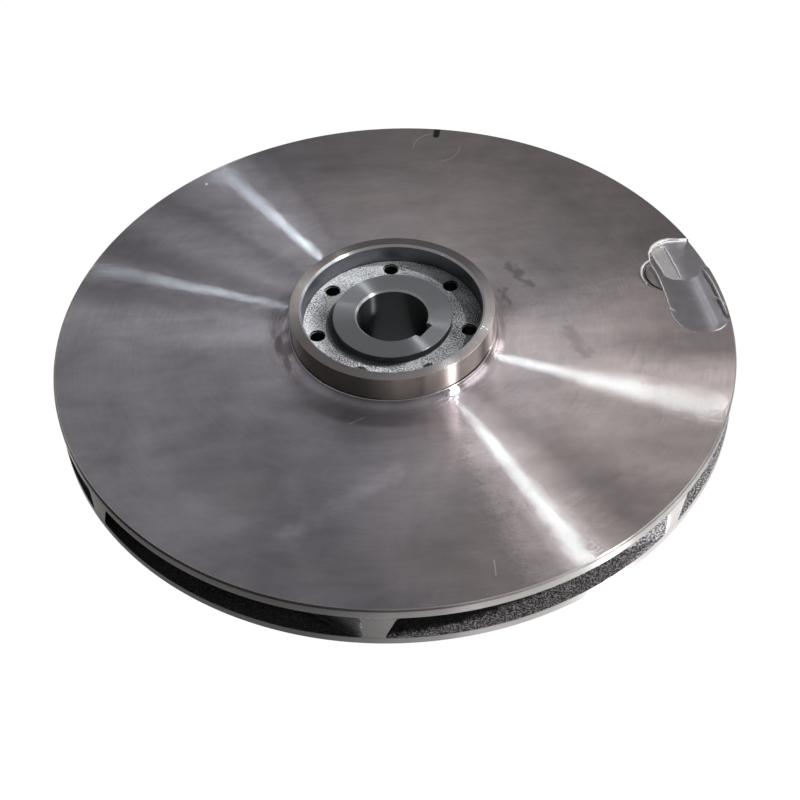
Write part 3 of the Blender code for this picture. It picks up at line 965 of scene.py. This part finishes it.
def make_seam(bright, dark):
    """Painted highlights along the edge of the ledge that the ring stands on, with a dark joint above it
    that on the right is painted shade.
    """
    for name, radius, height, start, end, thick, material in (
            ("seam_highlight_left", RING_RADIUS + 0.75 * MM, SEAT_Z + 0.10 * MM, 176, 262, 0.34, bright),
            ("seam_highlight_front", RING_RADIUS + 0.75 * MM, SEAT_Z + 0.05 * MM, 255, 318, 0.22, bright),
            ("joint_left", RING_RADIUS + 0.12 * MM, SEAT_Z + 0.30 * MM, 180, 262, 0.26, dark),
            ("joint_and_shade_right", RING_RADIUS + 0.20 * MM, SEAT_Z + 0.25 * MM, 296, 336, 0.42, dark)):
        points = arc((0.0, 0.0), radius, math.radians(start), math.radians(end), 80)
        bead_line(name, points, height, thick * MM, material, 0, 0.08)


def make_ring(name, node, inner, outer, low, high, chamfer, materials):
    """A wear ring; materials are for its top, outside, inside and inner edge."""
    top, outside, inside, edge = materials
    corners = [(inner, low), (outer, low), (outer, high), (inner + chamfer, high), (inner, high - chamfer)]
    ring = turned(name, rounded(corners, [0.1 * MM, 0.4 * MM, 0.4 * MM, 0.2 * MM, 0.2 * MM]), HUB_SEGMENTS)

    def pick(centre, normal):
        radius = math.hypot(centre.x, centre.y)
        if 0.2 < normal.z < 0.95 and radius < inner + chamfer:
            return edge
        if radius < inner + 0.02 * MM:
            return inside
        return outside if radius > outer - 0.02 * MM else top

    set_materials(ring, materials, pick)
    finish_piece(ring, node)


def vane_width(radius, height_share):
    """Angle that the vane takes up on the circle of this radius; height_share runs from front to back."""
    depth = max(0.0, 1.0 - (OUTER_RADIUS - radius) / TIP_BLEND)
    tip = TIP_FRONT + (TIP_BACK - TIP_FRONT) * height_share
    thickness = VANE_THICKNESS + (tip - VANE_THICKNESS) * depth
    return thickness / (radius * math.sin(VANE_ANGLE))


def vane_section(start, station):
    """Points round one upright section of the vane, from its tip, station 0, to its inlet."""
    share = math.sin(math.pi / 2 * station / VANE_STATIONS)
    tip_radius = OUTER_RADIUS - 0.03 * MM
    low_radius = tip_radius + (VANE_EYE_RADIUS - OUTER_RADIUS) * share
    high_radius = tip_radius + (VANE_HUB_RADIUS - OUTER_RADIUS) * share
    low_z = floor_height(low_radius) - 0.3 * MM
    high_z = ceiling_height(high_radius) + 0.3 * MM
    taper = min(1.0, 0.25 + 6.0 * (1.0 - share)) if share > 0.8 else 1.0
    first, second = [], []
    for j in range(VANE_ROWS + 1):
        t = 0.5 - 0.5 * math.cos(math.pi * j / VANE_ROWS)
        radius = low_radius + (high_radius - low_radius) * t
        z = low_z + (high_z - low_z) * t
        edge = min(z - low_z, high_z - z)
        flare = 0.0
        if edge < ROOT_FILLET:
            flare = ROOT_FILLET - math.sqrt(ROOT_FILLET ** 2 - (ROOT_FILLET - edge) ** 2)
        lead = start - math.log(OUTER_RADIUS / radius) / math.tan(VANE_ANGLE)
        width = vane_width(radius, t) * taper
        grow = flare / (radius * math.sin(VANE_ANGLE)) * (0.5 if station == 0 else 1.0)
        for side, angle in ((first, lead - grow), (second, lead + width + grow)):
            side.append((radius * math.cos(angle), radius * math.sin(angle), z))
    return first + second[::-1]


def make_vane(index, smooth, cast):
    """One vane as a grid: along the vane and round its section, with root fillets top and bottom."""
    start = VANE_START + PITCH * index
    vertices = []
    for station in range(VANE_STATIONS + 1):
        vertices += vane_section(start, station)
    size = 2 * (VANE_ROWS + 1)
    last = VANE_STATIONS * size
    faces = []
    for i in range(VANE_STATIONS):
        for j in range(size):
            a, b = i * size + j, i * size + (j + 1) % size
            faces.append((b, a, a + size, b + size))
    for j in range(VANE_ROWS):
        faces.append((j, j + 1, size - 2 - j, size - 1 - j))
        faces.append((last + size - 1 - j, last + size - 2 - j, last + j + 1, last + j))
    vane = mesh_object("vane_%d_casting" % (index + 1), vertices, faces, 40)

    def pick(centre, normal):
        outward = Vector((centre.x, centre.y, 0)).normalized()
        at_rim = math.hypot(centre.x, centre.y) > OUTER_RADIUS - 0.25 * MM
        return smooth if at_rim and abs(normal.dot(outward)) > 0.8 else cast

    set_materials(vane, [smooth, cast], pick)
    finish_piece(vane, "vane_%d" % (index + 1))


def area_light(name, direction, distance, size, power, colour, glossy):
    """A round light in a direction given as (azimuth, elevation) in degrees, facing the part."""
    azimuth, elevation = math.radians(direction[0]), math.radians(direction[1])
    level = math.cos(elevation)
    offset = Vector((math.cos(azimuth) * level, math.sin(azimuth) * level, math.sin(elevation))) * distance
    data = bpy.data.lights.new(name, "AREA")
    data.shape = "DISK"
    data.size = size
    data.energy = power
    data.color = colour
    light = bpy.data.objects.new(name, data)
    light.location = Vector(LAMP_TARGET) + offset
    light.visible_glossy = glossy
    light.rotation_euler = (-offset).to_track_quat("-Z", "Y").to_euler()
    bpy.context.scene.collection.objects.link(light)


def make_floor():
    """A plain white floor that glows, so that it shows no shadow, as in the photograph."""
    size = 4.0
    corners = [(-size, -size, 0), (size, -size, 0), (size, size, 0), (-size, size, 0)]
    floor = mesh_object("floor", corners, [(0, 1, 2, 3)])
    material = bpy.data.materials.new("pale_floor")
    material.use_nodes = True
    shader = material.node_tree.nodes["Principled BSDF"]
    shader.inputs["Base Color"].default_value = (0.0, 0.0, 0.0, 1.0)
    shader.inputs["Roughness"].default_value = 0.9
    shader.inputs["Specular IOR Level"].default_value = 0.0
    shader.inputs["Emission Color"].default_value = (1.0, 1.0, 1.0, 1.0)
    shader.inputs["Emission Strength"].default_value = FLOOR_GLOW
    floor.data.materials.append(material)


def make_camera():
    """A pinhole fitted to the photograph's circles."""
    elevation = math.radians(46.85)
    roll = math.radians(2.67)
    distance = 870.5 * MM
    shift = (2.1 * MM, -40.8 * MM)
    focal_pixels = 1471.1
    picture_pixels = 800
    forward = Vector((0.0, math.cos(elevation), -math.sin(elevation)))
    right = Vector((1.0, 0.0, 0.0))
    up = right.cross(forward)
    place = Vector((0.0, 0.0, BACK_FACE_Z)) - forward * distance + right * shift[0] + up * shift[1]
    across = right * math.cos(roll) - up * math.sin(roll)
    upward = right * math.sin(roll) + up * math.cos(roll)
    data = bpy.data.cameras.new("camera")
    data.sensor_width = 36.0
    data.lens = focal_pixels / picture_pixels * data.sensor_width
    data.clip_start = 0.01
    camera = bpy.data.objects.new("camera", data)
    basis = Matrix((across, upward, -forward)).transposed()
    camera.matrix_world = Matrix.Translation(place) @ basis.to_4x4()
    bpy.context.scene.collection.objects.link(camera)
    bpy.context.scene.camera = camera


def make_lights():
    """Small lamps for the narrow streaks, softer ones for the broad tones, and a pale room."""
    world = bpy.data.worlds.new("studio")
    world.use_nodes = True
    background = world.node_tree.nodes["Background"]
    background.inputs["Color"].default_value = (1.0, 1.0, 1.0, 1.0)
    background.inputs["Strength"].default_value = ROOM_LIGHT
    bpy.context.scene.world = world
    for lamp in LAMPS:
        area_light(*lamp)


noise.seed_set(BEAD_SEED)
bpy.context.scene.view_settings.view_transform = "Standard"
make_camera()
make_lights()
make_floor()

face_iron = turned_face()
ring_iron = turned_metal(
    "ring_iron", (0.62, 0.58, 0.57), (0.44, 0.40, 0.39), 0.26, painted_light=RING_TOP_PAINTED_LIGHT)
ring_side = turned_metal(
    "ring_side", (0.50, 0.44, 0.41), (0.24, 0.20, 0.19), 0.34, (-0.8, -0.25, 0.1), RING_SIDE_PAINTED_LIGHT)
hub_iron = turned_metal(
    "hub_iron", (0.47, 0.48, 0.51), (0.39, 0.40, 0.425), 0.36, painted_light=((60.0, 0.0, 0.9, 1.25),))
# Rim and tip irons are one turned iron with painted highlights on the lit right, brighter on the tips and
# the front shroud's rim
rim_iron = turned_metal(
    "rim_iron", (0.60, 0.58, 0.57), (0.40, 0.38, 0.37), 0.4, RIM_SLOPES,
    (*RIM_PAINTED_LIGHT, (-28.0, 0.82, 0.96, 1.25)))
tip_iron = turned_metal(
    "tip_iron", (0.60, 0.58, 0.57), (0.40, 0.38, 0.37), 0.4, RIM_SLOPES,
    (*RIM_PAINTED_LIGHT, (-32.0, 0.82, 0.93, 1.65)))
# Near black: painted shade in the bore and on the boss's side
bore_iron = turned_metal("bore_iron", (0.11, 0.113, 0.12), (0.06, 0.063, 0.065), 0.4)
recess_iron = plain_metal("recess_iron", (0.20, 0.205, 0.22), 0.45)
# Near black: painted shade in the holes and along the plunge's edge, and the dark joint at the ring's foot
hole_iron = plain_metal("hole_iron", (0.03, 0.03, 0.03), 0.6)
cast_iron = passage_metal()
bright_cast = blasted_metal()
slot_iron = milled_metal("slot_iron", (0.44, 0.41, 0.45), 0.3, SLOT_PATH)
pocket_iron = milled_metal("pocket_iron", (0.53, 0.50, 0.54), 0.3, SECOND_LANE[::-1])
lane_iron = plain_metal("lane_iron", (0.76, 0.72, 0.725), 0.4)
wall_iron = plain_metal("wall_iron", (0.95, 0.95, 0.95), 0.35, 0.2)
burr_iron = plain_metal("burr_iron", (0.52, 0.51, 0.51), 0.3, 0.5)
edge_iron = turned_metal("edge_iron", (0.97, 0.98, 1.0), (0.85, 0.86, 0.88), 0.4, (-0.5, -0.2, 0.1))

make_back_shroud(face_iron, rim_iron, [slot_iron, lane_iron, pocket_iron, wall_iron], edge_iron)
make_beads(burr_iron, hole_iron)
make_seam(edge_iron, hole_iron)
make_hub(hub_iron, bright_cast, bore_iron, hole_iron, edge_iron)
make_front_shroud(tip_iron, cast_iron)
ring_metals = (ring_iron, ring_side, recess_iron, edge_iron)
make_ring("back_ring", "back_wear_ring", RING_INNER_RADIUS, RING_RADIUS,
          SEAT_Z, RING_TOP_Z, RING_CHAMFER, ring_metals)
make_ring("front_ring", "front_wear_ring", NECK_RADIUS + FIT_GAP, FRONT_RING_RADIUS,
          0.0, FRONT_RING_Z, 0.5 * MM, ring_metals)
for number in range(COUNT):
    make_vane(number, tip_iron, cast_iron)
